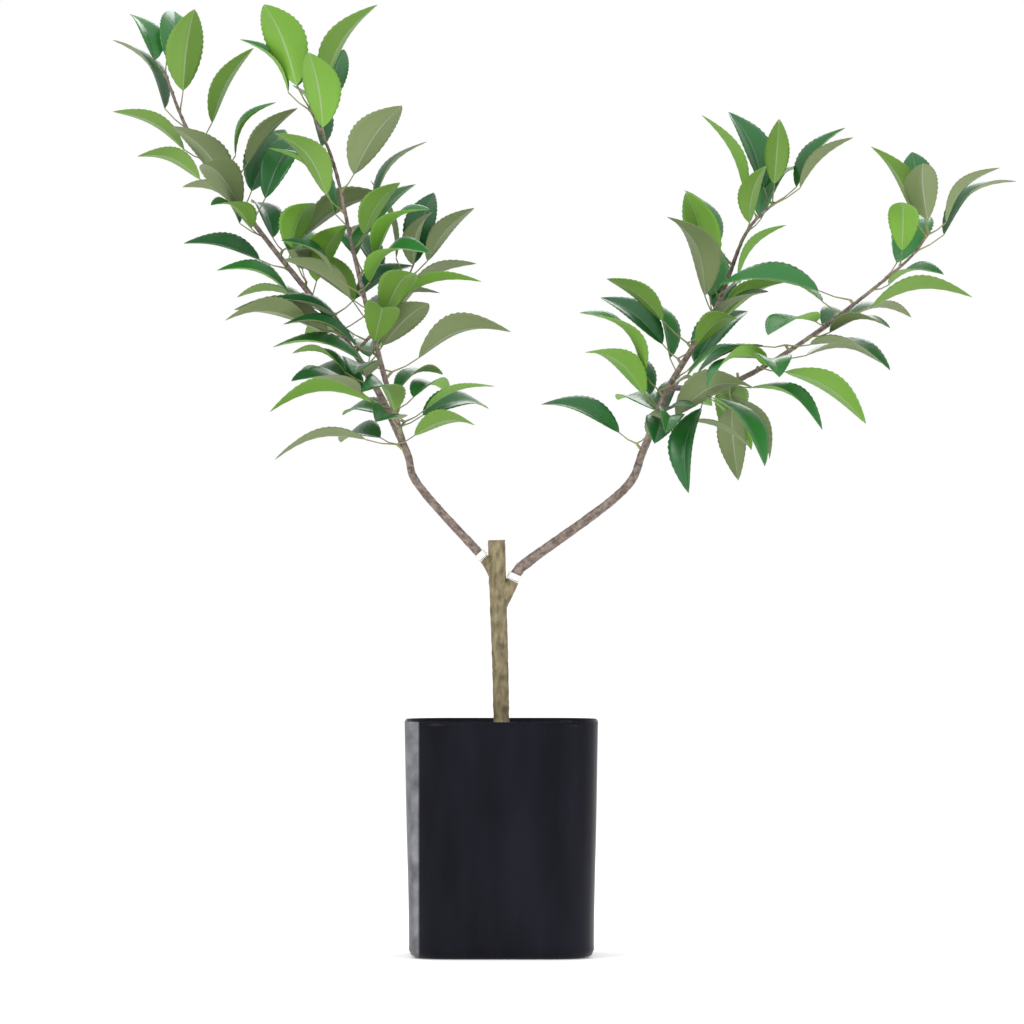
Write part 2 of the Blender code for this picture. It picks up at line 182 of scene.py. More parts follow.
def mottled(name, dark, light, scale, roughness, relief, stretch=(1, 1, 1)):
    """A mottled material in the piece's own coordinates."""
    material, tree, shader = blank_material(name, roughness)
    place = tree.nodes.new("ShaderNodeTexCoord")
    stretched = tree.nodes.new("ShaderNodeMapping")
    stretched.inputs["Scale"].default_value = stretch
    mottle = tree.nodes.new("ShaderNodeGroup")
    mottle.node_tree = MOTTLE
    mottle.inputs["Scale"].default_value = scale
    mottle.inputs["Dark"].default_value = (*dark, 1)
    mottle.inputs["Light"].default_value = (*light, 1)
    mottle.inputs["Relief"].default_value = relief
    tree.links.new(place.outputs["Object"], stretched.inputs["Vector"])
    tree.links.new(stretched.outputs["Vector"], mottle.inputs["Place"])
    tree.links.new(mottle.outputs["Color"], shader.inputs["Base Color"])
    tree.links.new(mottle.outputs["Normal"], shader.inputs["Normal"])
    return material


def add_painted_sheen(material):
    """Paints a broken grey sheen, a painted reflection, into a material's colour, down the bag's front
    left corner.
    """
    tree = material.node_tree
    base_color = tree.nodes["Principled BSDF"].inputs["Base Color"]
    place = tree.nodes.new("ShaderNodeTexCoord")
    axes = tree.nodes.new("ShaderNodeSeparateXYZ")
    side = ramp(tree, *PAINTED_SHEEN_SIDE)
    front = ramp(tree, *PAINTED_SHEEN_FRONT)
    breaks = tree.nodes.new("ShaderNodeTexNoise")
    breaks.inputs["Scale"].default_value = PAINTED_SHEEN_SCALE
    blend = tree.nodes.new("ShaderNodeMix")
    blend.data_type = "RGBA"
    blend.inputs["B"].default_value = (*PAINTED_SHEEN_TONE, 1)
    tree.links.new(place.outputs["Object"], axes.inputs["Vector"])
    tree.links.new(place.outputs["Object"], breaks.inputs["Vector"])
    tree.links.new(axes.outputs["X"], side.inputs["Value"])
    tree.links.new(axes.outputs["Y"], front.inputs["Value"])
    corner = product(tree, side.outputs["Result"], front.outputs["Result"])
    tree.links.new(product(tree, corner, breaks.outputs["Fac"]), blend.inputs["Factor"])
    tree.links.new(base_color.links[0].from_socket, blend.inputs["A"])
    tree.links.new(blend.outputs["Result"], base_color)


film = mottled(
    "film", dark=(0.0035, 0.0035, 0.007), light=(0.008, 0.008, 0.014),
    scale=30, roughness=0.30, relief=0.10, stretch=(1, 1, 0.25),
)
film.node_tree.nodes["Principled BSDF"].inputs["Specular IOR Level"].default_value = FILM_SPECULAR
# The film's front left corner gets its painted sheen, a reflection painted into its colour.
add_painted_sheen(film)

bm = bmesh.new()
bmesh.ops.create_cube(bm, size=1)
for vert in bm.verts:
    height = BAG_HEIGHT if vert.co.z > 0 else 0
    half = bag_width(height) / 2
    vert.co = (math.copysign(half, vert.co.x), math.copysign(half, vert.co.y), height)
upright_edges = [e for e in bm.edges if abs(e.verts[0].co.z - e.verts[1].co.z) > LEVEL]
bmesh.ops.bevel(
    bm, geom=upright_edges, offset=BAG_CORNER, affect="EDGES", segments=BAG_CORNER_FACETS,
    profile=0.5, material=-1,
)
foot_edges = [e for e in bm.edges if max(v.co.z for v in e.verts) < LEVEL]
bmesh.ops.bevel(
    bm, geom=foot_edges, offset=BAG_FOOT_ROUND, affect="EDGES", segments=BAG_FOOT_FACETS,
    profile=0.5, material=-1,
)
mouth = max(bm.faces, key=lambda f: f.calc_center_median().z)
bmesh.ops.delete(bm, geom=[mouth], context="FACES_ONLY")
walls = [e for e in bm.edges if abs(e.verts[0].co.z - e.verts[1].co.z) > WALL_LEAST]
bmesh.ops.subdivide_edges(bm, edges=walls, cuts=CREASE_RINGS, use_grid_fill=True)
bm.normal_update()
for vert in bm.verts:
    if vert.co.z > BAG_FOOT_ROUND:
        at = Vector((vert.co.x, vert.co.y, vert.co.z * CREASE_UPRIGHT)) * CREASE_SCALE
        vert.co += vert.normal * CREASE_DEPTH * noise.noise(at)
bag = put("film_bag", bm, film)
bag_wall = bag.modifiers.new("wall", "SOLIDIFY")
bag_wall.thickness = FILM_THICKNESS
bag.data.shade_smooth()
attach(bag, "root")
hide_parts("bag")

# The filling is moist dark compost, loose and crumbly on top and a little mounded. It lies against the
# film all round and comes up to just below the rim.
GAP = 0.0003  # between solids that touch on the real tree
SOIL_BELOW_RIM = 0.009
SOIL_HIGH = BAG_HEIGHT - SOIL_BELOW_RIM
SOIL_HALF = bag_width(SOIL_HIGH) / 2 - BAG_WALL - 2 * GAP
SOIL_MOUND = 0.004
SOIL_CELLS = 110
SOIL_THICKNESS = 0.006
SOIL_CORNER_POWER = 4.2  # 2 would make the outline a circle, and more brings it nearer a square
SOIL_EDGE_POWER = 8  # how close to the film the crumbs stay at their full height
CRUMB = 0.0022
CRUMB_SCALE = 130
CRUMB_NOISE = (0.9, 2.1, 4)  # fractal increment, lacunarity and octaves
compost = mottled(
    "compost", dark=(0.010, 0.007, 0.005), light=(0.06, 0.04, 0.028), scale=260, roughness=0.95, relief=0.7
)
bm = bmesh.new()
bmesh.ops.create_grid(bm, x_segments=SOIL_CELLS, y_segments=SOIL_CELLS, size=1)
for vert in bm.verts:
    across, back = vert.co.x, vert.co.y
    share = max(abs(across), abs(back))
    radius = (abs(across) ** SOIL_CORNER_POWER + abs(back) ** SOIL_CORNER_POWER) ** (1 / SOIL_CORNER_POWER)
    shrink = share / radius if radius else 1
    vert.co.x, vert.co.y = across * shrink * SOIL_HALF, back * shrink * SOIL_HALF
    vert.co.z = SOIL_HIGH + SOIL_MOUND * (1 - share**2)
    vert.co.z += CRUMB * noise.fractal(vert.co * CRUMB_SCALE, *CRUMB_NOISE) * (1 - share**SOIL_EDGE_POWER)
soil = put("compost_top", bm, compost)
soil_depth = soil.modifiers.new("depth", "SOLIDIFY")
soil_depth.thickness = SOIL_THICKNESS
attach(soil, "root")
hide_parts("potting_mix")

# The trunk is the rootstock's stem, sawn off above the grafts, where callus has swollen it. Each leader's
# foot is joined to it by a graft union that has healed over. The bark is olive brown with paler flecks.
TRUNK_TOP = 0.4150
TRUNK_LEAN = -0.0050
TRUNK_BENDS = [(0, 0, SOIL_HIGH), (-0.0012, 0, 0.290), (-0.0032, 0, 0.350), (TRUNK_LEAN, 0, TRUNK_TOP)]
TRUNK_RADIUS = 0.0079
CALLUS_SWELLING = 0.0014
CALLUS_SHARE = 0.6  # of the swelling, that the stem itself shows
UNION_DROPS = {"left": 0.018, "right": 0.026}  # how far below its leader's foot each union starts
UNION_LEAN = 0.8  # a union starts at this much of the trunk's lean
UNION_OUT = 0.1  # and at this much of its leader's distance to the side
UNION_FOOT = 1.5  # times the leader's radius
UNION_NECK = 1.15  # times the leader's radius
UNION_SHORT = 2 * GAP  # kept free between it and its leader
CURVE_STEPS = 8  # from bend to bend
SEAM = 0.00001  # points closer than this are one point
BARK_RESOLUTION = 6
BARK_STEP = 0.0022
BARK_RELIEF = 0.00035
BARK_SCALE = 230
BARK_ROUND = 2  # how many times finer the relief is round a limb than up it
BARK_NOISE = (0.9, 2.0, 3)  # fractal increment, lacunarity and octaves
SWELLING = 0.05  # of the radius, either way
SWELLING_SCALE = 90


def smooth(points, steps=CURVE_STEPS):
    """A dense line on the smooth curve through the points."""
    ends = [points[0] * 2 - points[1], *points, points[-1] * 2 - points[-2]]
    line = []
    for a, b, c, d in zip(ends, ends[1:], ends[2:], ends[3:]):
        for i in range(steps):
            t = i / steps
            bend = (2 * a - 5 * b + 4 * c - d) * t**2
            twist = (3 * b - a - 3 * c + d) * t**3
            line.append(0.5 * (2 * b + (c - a) * t + bend + twist))
    return [*line, points[-1].copy()]


@dataclass
class Limb:
    """A tapering limb through its bends. Blades rise by old_rise degrees near its foot, young_rise at its
    tip, and age is how young its foot is, from 0 on the oldest wood to 1."""

    bends: list
    foot_radius: float
    tip_radius: float
    age: float = 0.0
    old_rise: float = -45
    young_rise: float = 40
    resolution: int = 2
    line: list = field(init=False)
    reach: list = field(init=False)

    def __post_init__(self):
        self.line = smooth([Vector(p) for p in self.bends])
        self.reach = [0.0]
        for a, b in zip(self.line, self.line[1:]):
            self.reach.append(self.reach[-1] + (b - a).length)

    @property
    def length(self):
        return self.reach[-1]

    def at(self, share):
        """The axis point, direction and radius at a share of the limb's length."""
        station = share * self.length
        i = 1
        while i < len(self.reach) - 1 and self.reach[i] < station:
            i += 1
        a, b = self.line[i - 1], self.line[i]
        t = (station - self.reach[i - 1]) / (self.reach[i] - self.reach[i - 1])
        return a.lerp(b, t), (b - a).normalized(), mix(self.foot_radius, self.tip_radius, share)


def round_curve(name, resolution):
    """An empty curve of round section with closed ends, as thick as its points' radii."""
    curve = bpy.data.curves.new(name, "CURVE")
    curve.dimensions = "3D"
    curve.bevel_depth = 1.0
    curve.bevel_resolution = resolution
    curve.use_fill_caps = True
    return curve


def thread(curve, stations):
    """Adds one stretch to a round curve, through stations that are each a place and a radius."""
    spline = curve.splines.new("POLY")
    spline.points.add(len(stations) - 1)
    for point, (place, radius) in zip(spline.points, stations):
        point.co = (*place, 1)
        point.radius = radius


def meshed(curve_object):
    """Puts a mesh object in a curve object's place, with its caps welded on."""
    name = curve_object.name
    graph = bpy.context.evaluated_depsgraph_get()
    mesh = bpy.data.meshes.new_from_object(curve_object.evaluated_get(graph))
    bpy.data.objects.remove(curve_object)
    bm = bmesh.new()
    bm.from_mesh(mesh)
    bmesh.ops.remove_doubles(bm, verts=bm.verts, dist=SEAM)
    bm.to_mesh(mesh)
    bm.free()
    return placed(name, mesh)


def barked(name, limb, start, end, material):
    """A stretch of limb as a fine tube whose skin swells and wrinkles like bark."""
    cut = GAP / 2 / limb.length
    count = max(3, round((end - start) * limb.length / BARK_STEP))
    stations = []
    for i in range(count + 1):
        place, _, radius = limb.at(mix(start + cut, end - cut, i / count))
        stations.append((place, radius * (1 + SWELLING * noise.noise(place * SWELLING_SCALE))))
    curve = round_curve(name, BARK_RESOLUTION)
    thread(curve, stations)
    made = meshed(placed(name, curve))
    for vert in made.data.vertices:
        at = Vector((vert.co.x * BARK_ROUND, vert.co.y * BARK_ROUND, vert.co.z)) * BARK_SCALE
        vert.co += vert.normal * BARK_RELIEF * noise.fractal(at, *BARK_NOISE)
    made.data.shade_smooth()
    made.data.materials.clear()
    made.data.materials.append(material)
    return made


LEFT_BARE = 0.195  # the share of the left leader that is bare
RIGHT_BARE = 0.36
LEFT_LEADER = Limb(
    [
        (-0.0180, 0, 0.397), (-0.083, 0.002, 0.470), (-0.097, 0.005, 0.508), (-0.144, 0.014, 0.598),
        (-0.242, 0.040, 0.724), (-0.310, 0.064, 0.817), (-0.341, 0.080, 0.888),
    ],
    foot_radius=0.0044, tip_radius=0.0014,
)
RIGHT_LEADER = Limb(
    [
        (0.0115, 0, 0.375), (0.0165, 0, 0.384), (0.030, 0, 0.396), (0.120, -0.002, 0.463),
        (0.142, 0, 0.505), (0.167, 0.004, 0.567), (0.214, 0.024, 0.645), (0.245, 0.046, 0.722),
        (0.275, 0.060, 0.755),
    ],
    foot_radius=0.0055, tip_radius=0.0013, old_rise=-35, young_rise=50,
)
root_bark = mottled(
    "rootstock", dark=(0.10, 0.080, 0.040), light=(0.27, 0.225, 0.12),
    scale=210, roughness=0.75, relief=0.6, stretch=(1, 1, 0.45),
)
stem = Limb(TRUNK_BENDS, TRUNK_RADIUS, TRUNK_RADIUS + CALLUS_SWELLING * CALLUS_SHARE)
trunk_parts = [barked("rootstock_stem", stem, 0, 1, root_bark)]
for leader, drop in ((LEFT_LEADER, UNION_DROPS["left"]), (RIGHT_LEADER, UNION_DROPS["right"])):
    foot, along, radius = leader.at(0)
    inside = Vector((TRUNK_LEAN * UNION_LEAN + foot.x * UNION_OUT, 0, foot.z - drop))
    bends = [inside, foot - along * radius * UNION_FOOT, foot - along * UNION_SHORT]
    union = Limb(bends, radius * UNION_FOOT, radius * UNION_NECK)
    trunk_parts.append(barked("union", union, 0, 1, root_bark))
for piece in trunk_parts:
    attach(piece, "root")
    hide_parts("trunk")

# The bare boughs are young grafted wood, with a smoother bark of grey to purple brown. Each is the bare
# foot of a leader, which grows on into its leaves.
BOUGHS = [("left_bough", LEFT_LEADER, LEFT_BARE), ("right_bough", RIGHT_LEADER, RIGHT_BARE)]
scion_bark = mottled(
    "scion", dark=(0.085, 0.058, 0.048), light=(0.26, 0.20, 0.165), scale=240, roughness=0.55, relief=0.4
)
for name, leader, bare_share in BOUGHS:
    bough = barked(name + "_bark", leader, 0, bare_share, scion_bark)
    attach(bough, "root")
    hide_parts(name)

# The graft tape is matt off-white film, wound once round the foot of each scion. It keeps its CAD shape.
tape = mottled(
    "tape", dark=(0.68, 0.67, 0.64), light=(0.83, 0.82, 0.80), scale=300, roughness=0.5, relief=0.15
)
for name in ("left_graft_tape", "right_graft_tape"):
    frame["nodes"][name].data.materials.clear()
    frame["nodes"][name].data.materials.append(tape)

# The foliage grows on from the boughs by the rule that grew the solids. An apple shoot sets its buds two
# fifths of a turn apart. Old wood bears spurs with a rosette of leaves, and young wood single leaves.
# Whatever would touch another limb or leaf is turned aside or left out.
LIMB_STEP = 0.012  # between the points of a limb's solid
END_STRAIGHT = 0.0008  # the straight end of a limb, which keeps its cut square
BUD_EVERY = 0.021
BUD_PLACE = 0.7  # how far along its own share of the limb a bud sits
BUD_TURN = math.radians(144)
BUD_STRAY = 0.3  # radians either way
ROSETTE_TURN = math.radians(137.5)
OLD_SPUR = 0.016
YOUNG_SPUR = 0.003
SPUR_RADIUS = 0.0014
SPUR_FOOT = 1.15  # times its radius
SPUR_RISE = 0.4  # for each unit that it goes outwards
SPUR_AHEAD = 0.6  # how strongly a spur follows its limb
OLD_ROSETTE = 3.2  # leaves on a spur of the oldest wood
YOUNG_ROSETTE = 1.0  # and at a bud of the youngest
TIP_LEAVES = 3
TIP_SUNK = 0.004  # how far inside a shoot's end its last leaves are rooted
STALK_LENGTH = (0.020, 0.034)
STALK_RADIUS = 0.0008
STALK_FOOT = 1.2  # times its radius
STALK_NECK = 0.8  # times its radius
STALK_SAG = 0.0015
STALK_OUT = 0.6  # how strongly a stalk leaves its shoot sideways
STALK_AHEAD = 0.5  # and along it
STALK_STATIONS = (0.0, 0.55)
BLADE_LENGTH = (0.066, 0.104)
BLADE_WIDTH = (0.40, 0.50)  # of its length
BLADE_THICKNESS = 0.012  # of its length, at the midrib of the plain leaf that is tested
BLADE_FOLD = (22, 36)  # degrees that each half rises from flat
BLADE_ARCH = (0.08, 0.18)  # of its length
BLADE_ROLL = 26  # degrees either way
BLADE_RISE = 16  # degrees either way
BLADE_STATIONS = (0.0, 0.16, 0.42, 0.70, 0.90)
WIDEST = 0.85  # below 1 the blade is widest nearer its base
FULLNESS = 0.8  # below 1 the blade is fuller than a sine
FORWARD = 0.45  # how strongly a blade follows its shoot
UPRIGHT = 0.1  # a blade whose level length is less than this takes its sides from its bearing
CLEARANCE = 0.0006  # kept round every leaf
TURNS_TRIED = (0, 24, -24, 50, -50, 80, -80)
TWIG_FROM = 0.41  # the share of the left leader where its twig branches off
SPUR_FROM = 0.43  # and of the right leader where its stout spur does
CROWN_LEFT = -0.4525  # no leaf that is tested goes past this or the next two
CROWN_RIGHT = 0.5225
CROWN_TOP = 0.9550

LEFT_SECOND = Limb(
    [
        (-0.097, 0.005, 0.508), (-0.120, -0.020, 0.590), (-0.147, -0.048, 0.701), (-0.166, -0.066, 0.787),
        (-0.191, -0.076, 0.846),
    ],
    foot_radius=0.0030, tip_radius=0.0013, age=0.3, old_rise=-30, young_rise=50,
)
LEFT_TWIG = Limb(
    [LEFT_LEADER.at(TWIG_FROM)[0], (-0.122, 0.034, 0.632), (-0.094, 0.050, 0.680)],
    foot_radius=0.0018, tip_radius=0.0012, age=0.6, old_rise=0, young_rise=45, resolution=1,
)
RIGHT_SPREADER = Limb(
    [
        (0.167, 0.004, 0.567), (0.224, -0.014, 0.570), (0.298, -0.046, 0.611), (0.394, -0.090, 0.685),
        (0.424, -0.104, 0.720),
    ],
    foot_radius=0.0030, tip_radius=0.0012, age=0.4, old_rise=-65, young_rise=35,
)
RIGHT_SPUR = Limb(
    [RIGHT_LEADER.at(SPUR_FROM)[0], (0.168, -0.014, 0.537)],
    foot_radius=0.0024, tip_radius=0.0018, old_rise=-60, young_rise=-20, resolution=1,
)


@dataclass
class Mass:
    """Leaves on one stem, which is the first stretch. A stretch is a limb and the shares where it starts
    and ends. bearing is the first bud's, in degrees anticlockwise from +X seen from above."""

    name: str
    stretches: list
    bearing: float
    seed: int


MASSES = [
    Mass("left_fork_leaves", [(LEFT_LEADER, LEFT_BARE, 0.31), (LEFT_SECOND, 0, 0.16)], 200, 1),
    Mass("left_leader_middle_leaves", [(LEFT_LEADER, 0.31, 0.56), (LEFT_TWIG, 0, 1)], 140, 2),
    Mass("left_leader_upper_leaves", [(LEFT_LEADER, 0.56, 0.80)], 170, 3),
    Mass("left_leader_tip_leaves", [(LEFT_LEADER, 0.80, 1)], 190, 4),
    Mass("left_second_middle_leaves", [(LEFT_SECOND, 0.16, 0.58)], 0, 5),
    Mass("left_second_tip_leaves", [(LEFT_SECOND, 0.58, 1)], 20, 6),
    Mass(
        "right_fork_leaves",
        [(RIGHT_LEADER, RIGHT_BARE, 0.60), (RIGHT_SPREADER, 0, 0.12), (RIGHT_SPUR, 0, 1)], 160, 7,
    ),
    Mass("right_leader_middle_leaves", [(RIGHT_LEADER, 0.60, 0.80)], 170, 8),
    Mass("right_leader_tip_leaves", [(RIGHT_LEADER, 0.80, 1)], 150, 9),
    Mass("right_spreader_lower_leaves", [(RIGHT_SPREADER, 0.12, 0.56)], 330, 10),
    Mass("right_spreader_tip_leaves", [(RIGHT_SPREADER, 0.56, 1)], 10, 11),
]


def limb_guide(limb, start, end):
    """A stretch of a limb as its solid has it, half the gap short at each cut, to test for overlap."""
    cut, square = GAP / 2 / limb.length, END_STRAIGHT / limb.length
    first, last = start + cut, end - cut
    count = math.ceil((last - first) * limb.length / LIMB_STEP)
    shares = [first, *(mix(first + square, last - square, i / count) for i in range(count + 1)), last]
    curve = round_curve("guide", limb.resolution)
    thread(curve, [(place, radius) for place, _, radius in map(limb.at, shares)])
    return placed("guide", curve)


def tree_of(made):
    return BVHTree.FromObject(made, bpy.context.evaluated_depsgraph_get())


def draw_out(bm, face):
    """Extrudes a face in place and returns the new one, leaving no face inside."""
    made = bmesh.ops.extrude_face_region(bm, geom=[face])["geom"]
    if any(len(edge.link_faces) > 2 for edge in face.edges):
        bmesh.ops.delete(bm, geom=[face], context="FACES_ONLY")
    return next(part for part in made if isinstance(part, bmesh.types.BMFace))


class Leaf:
    """A leaf on its stalk, grown from a point in a direction."""

    def __init__(self, root, ahead, bearing, rise, dice):
        self.root = root
        self.ahead = ahead
        self.rise = rise + dice.uniform(-BLADE_RISE, BLADE_RISE)
        self.bearing = bearing
        self.stalk = dice.uniform(*STALK_LENGTH)
        self.length = dice.uniform(*BLADE_LENGTH)
        self.half = self.length * dice.uniform(*BLADE_WIDTH) / 2
        self.fold = math.radians(dice.uniform(*BLADE_FOLD))
        self.arch = self.length * dice.uniform(*BLADE_ARCH)
        self.roll = math.radians(dice.uniform(-BLADE_ROLL, BLADE_ROLL))

    def hold(self, more_turn):
        """Sets the leaf's lines once its bearing is turned further."""
        bearing = self.bearing + math.radians(more_turn)
        rise = math.radians(self.rise)
        up = Vector((0, 0, 1))
        out = Vector((math.cos(bearing), math.sin(bearing), 0))
        self.reach = (out * math.cos(rise) + up * math.sin(rise) + self.ahead * FORWARD).normalized()
        stalk = (self.reach + out * STALK_OUT + self.ahead * STALK_AHEAD).normalized() * self.stalk
        self.base = self.root + stalk
        level = self.reach.cross(up)
        level = level.normalized() if level.length > UPRIGHT else out.cross(up)
        upper = level.cross(self.reach)
        self.upper = upper * math.cos(self.roll) + level * math.sin(self.roll)
        self.side = self.reach.cross(self.upper)

    def half_width(self, share):
        """Half the blade's width at a share of its length."""
        return self.half * math.sin(math.pi * share**WIDEST) ** FULLNESS

    def lift(self, share):
        """How far the blade's arch raises its midrib at a share of its length."""
        return math.sin(math.pi * share) * self.arch

    def skin(self, swell=0.0, with_stalk=True):
        """The leaf's closed skin as a bmesh, or the blade's alone."""
        rings = []
        thin = STALK_RADIUS + swell
        if with_stalk:
            for share in STALK_STATIONS:
                rings.append((self.root.lerp(self.base, share), thin, 0.0, thin))
        for share in BLADE_STATIONS:
            wide = max(self.half_width(share), STALK_RADIUS) + swell
            centre = self.base + self.reach * self.length * share + self.upper * self.lift(share)
            deep = BLADE_THICKNESS * self.length / 2 + swell
            rings.append((centre, wide, self.fold if share else 0.0, deep))
        bm = bmesh.new()
        face = None
        for centre, wide, fold, deep in rings:
            across = self.side * math.cos(fold) * wide
            raised = self.upper * math.sin(fold) * wide
            places = (
                centre - across + raised, centre + self.upper * deep,
                centre + across + raised, centre - self.upper * deep,
            )
            if face is None:
                face = bm.faces.new([bm.verts.new(p) for p in places])
                continue
            face = draw_out(bm, face)
            for vert, place in zip(face.verts, places):
                vert.co = place
        tip = self.base + self.reach * (self.length + swell)
        bmesh.ops.pointmerge(bm, verts=face.verts, merge_co=tip)
        return bm

    def tree(self, with_stalk):
        """The leaf's skin for tests of overlap, and whether it is inside the crown's space."""
        bm = self.skin(CLEARANCE, with_stalk)
        found = BVHTree.FromBMesh(bm)
        inside = all(CROWN_LEFT < v.co.x < CROWN_RIGHT and v.co.z < CROWN_TOP for v in bm.verts)
        bm.free()
        return found, inside


class Crown:
    """Keeps every limb and leaf so far, so that a new twig or leaf is placed clear of them or skipped."""

    def __init__(self):
        self.limbs = []
        self.leaves = []

    def add_limb(self, mass, made):
        self.limbs.append((mass, tree_of(made)))

    def takes_spur(self, mass, made):
        """Whether a spur is clear of every other mass. If it is, it is kept."""
        spur = tree_of(made)
        others = [tree for owner, tree in self.limbs if owner != mass]
        others += [whole for owner, whole, _ in self.leaves if owner != mass]
        if any(spur.overlap(tree) for tree in others):
            return False
        self.limbs.append((mass, spur))
        return True

    def takes_leaf(self, mass, leaf):
        """Whether a leaf is clear in one of the turns tried. If it is, it is kept so."""
        for more_turn in TURNS_TRIED:
            leaf.hold(more_turn)
            whole, inside = leaf.tree(with_stalk=True)
            blade, _ = leaf.tree(with_stalk=False)
            clear = inside and not any(
                (blade if owner == mass else whole).overlap(limb) for owner, limb in self.limbs
            )
            if clear and not any(
                blade.overlap(other_blade) if owner == mass else whole.overlap(other_whole)
                for owner, other_whole, other_blade in self.leaves
            ):
                self.leaves.append((mass, whole, blade))
                return True
        return False


crown = Crown()
for name, leader, bare_share in BOUGHS:
    guide = limb_guide(leader, 0, bare_share)
    crown.add_limb(name, guide)
    bpy.data.objects.remove(guide)
for mass in MASSES:
    for limb, start, end in mass.stretches:
        guide = meshed(limb_guide(limb, start, end))
        crown.add_limb(mass.name, guide)
        bpy.data.objects.remove(guide)

# The blades are pointed ovals with a toothed edge, folded along a raised midrib, and drawn into raised
# veins. They are dark and glossy above and light olive below, in a few plain tones dealt out by leaf.
ACROSS = (-1, -0.78, -0.52, -0.27, -0.035, 0.035, 0.27, 0.52, 0.78, 1)  # in half widths from the midrib
COLUMNS = len(ACROSS) - 1
ROWS = 30
LEAST_HALF = 0.0002  # of a blade's width, at its base and tip
MIDRIB_HALF = 0.0004
TOOTH = 0.028  # of the blade's half width, in and out
VEINS = 8
VEIN_SLANT = 0.9  # how far a vein runs ahead towards the edge, in veins
VEIN_RELIEF = 0.00028
FOLD_EASE = 0.25  # the share of its fold that a blade loses at its edge
BLADE_SKIN = 0.0004
UPPER_TONES = ((0.012, 0.115, 0.020), (0.020, 0.150, 0.026), (0.008, 0.085, 0.018))
UNDER_TONES = ((0.13, 0.26, 0.030), (0.15, 0.33, 0.030), (0.16, 0.21, 0.080))
UPPER_GLOSS = 0.33
UPPER_MIDRIB_GLOSS = 0.4
UNDER_GLOSS = 0.6
UPPER_MIDRIB = (0.30, 0.30)  # the paler level that a midrib goes to, and how far it goes
UNDER_MIDRIB = (0.45, 0.35)
FINISHES = 4  # of one tone: upper, under, upper midrib, under midrib
MIDRIB_FINISH = 2
TONE_SEED = 100  # added to a mass's own seed


def paler(tone, level, share):
    return tuple(mix(c, level, share) for c in tone)


leaf_materials = []
for upper_tone, under_tone in zip(UPPER_TONES, UNDER_TONES):
    for label, tone, gloss in (
        ("upper", upper_tone, UPPER_GLOSS),
        ("under", under_tone, UNDER_GLOSS),
        ("upper_midrib", paler(upper_tone, *UPPER_MIDRIB), UPPER_MIDRIB_GLOSS),
        ("under_midrib", paler(under_tone, *UNDER_MIDRIB), UNDER_GLOSS),
    ):
        material, _, shader = blank_material(f"leaf_{label}_{len(leaf_materials)}", gloss)
        shader.inputs["Base Color"].default_value = (*tone, 1)
        leaf_materials.append(material)


def fine_blade(bm, leaf, tone):
    """Adds one blade to a bmesh: a grid drawn into the leaf's outline, fold, arch and veins."""
    made = bmesh.ops.create_grid(bm, x_segments=COLUMNS, y_segments=ROWS, size=1)
    for vert in made["verts"]:
        over = ACROSS[round((vert.co.x + 1) / 2 * COLUMNS)]
        row = round((vert.co.y + 1) / 2 * ROWS)
        share = row / ROWS
        wide = max(leaf.half_width(share), LEAST_HALF)
        if abs(over) == 1 and 0 < row < ROWS:
            wide *= 1 + TOOTH * (-1) ** row
        vein = 0.5 + 0.5 * math.cos(math.tau * (share * VEINS - abs(over) * VEIN_SLANT))
        lift = leaf.lift(share) + VEIN_RELIEF * vein * (abs(over) < 1)
        fold = leaf.fold * (1 - FOLD_EASE * abs(over))
        sideways = leaf.side * math.cos(fold) * wide * over
        raised = leaf.upper * math.sin(fold) * wide * abs(over)
        vert.co = leaf.base + leaf.reach * leaf.length * share + leaf.upper * lift + sideways + raised
    for face in {f for v in made["verts"] for f in v.link_faces}:
        off_midrib = abs((face.calc_center_median() - leaf.base).dot(leaf.side))
        face.material_index = tone * FINISHES + (MIDRIB_FINISH if off_midrib < MIDRIB_HALF else 0)
        face.smooth = True


# Spurs and stalks are thin green to brown rods. A mass's rods are one piece, and so are its blades. Its
# stems are barked as the boughs are.
STALK_RESOLUTION = 2
stalk_green = mottled(
    "stalk", dark=(0.16, 0.20, 0.06), light=(0.30, 0.26, 0.13), scale=120, roughness=0.5, relief=0.1
)


def grow_bud(mass, limb, share, bearing, dice, rods):
    """The leaves of one bud, with its spur added to the rods."""
    youth = mix(limb.age, 1, share)
    place, along, _ = limb.at(share)
    out = Vector((math.cos(bearing), math.sin(bearing), SPUR_RISE))
    spur_end = place + (out + along * SPUR_AHEAD).normalized() * mix(OLD_SPUR, YOUNG_SPUR, youth)
    shape = Limb([place, spur_end], SPUR_RADIUS, SPUR_RADIUS, resolution=0)
    guide = meshed(limb_guide(shape, 0, 1))
    grown = []
    if crown.takes_spur(mass.name, guide):
        thread(rods, [(place, SPUR_RADIUS * SPUR_FOOT), (spur_end, SPUR_RADIUS)])
        rise = mix(limb.old_rise, limb.young_rise, share)
        for k in range(round(mix(OLD_ROSETTE, YOUNG_ROSETTE, youth))):
            leaf = Leaf(spur_end, along, bearing + k * ROSETTE_TURN, rise, dice)
            if crown.takes_leaf(mass.name, leaf):
                grown.append(leaf)
    bpy.data.objects.remove(guide)
    return grown


def grow_tip(mass, limb, bearing, dice):
    """The last leaves of a shoot."""
    tip, along, _ = limb.at(1 - TIP_SUNK / limb.length)
    grown = []
    for k in range(TIP_LEAVES):
        leaf = Leaf(tip, along, bearing + k * math.tau / TIP_LEAVES, limb.young_rise, dice)
        if crown.takes_leaf(mass.name, leaf):
            grown.append(leaf)
    return grown


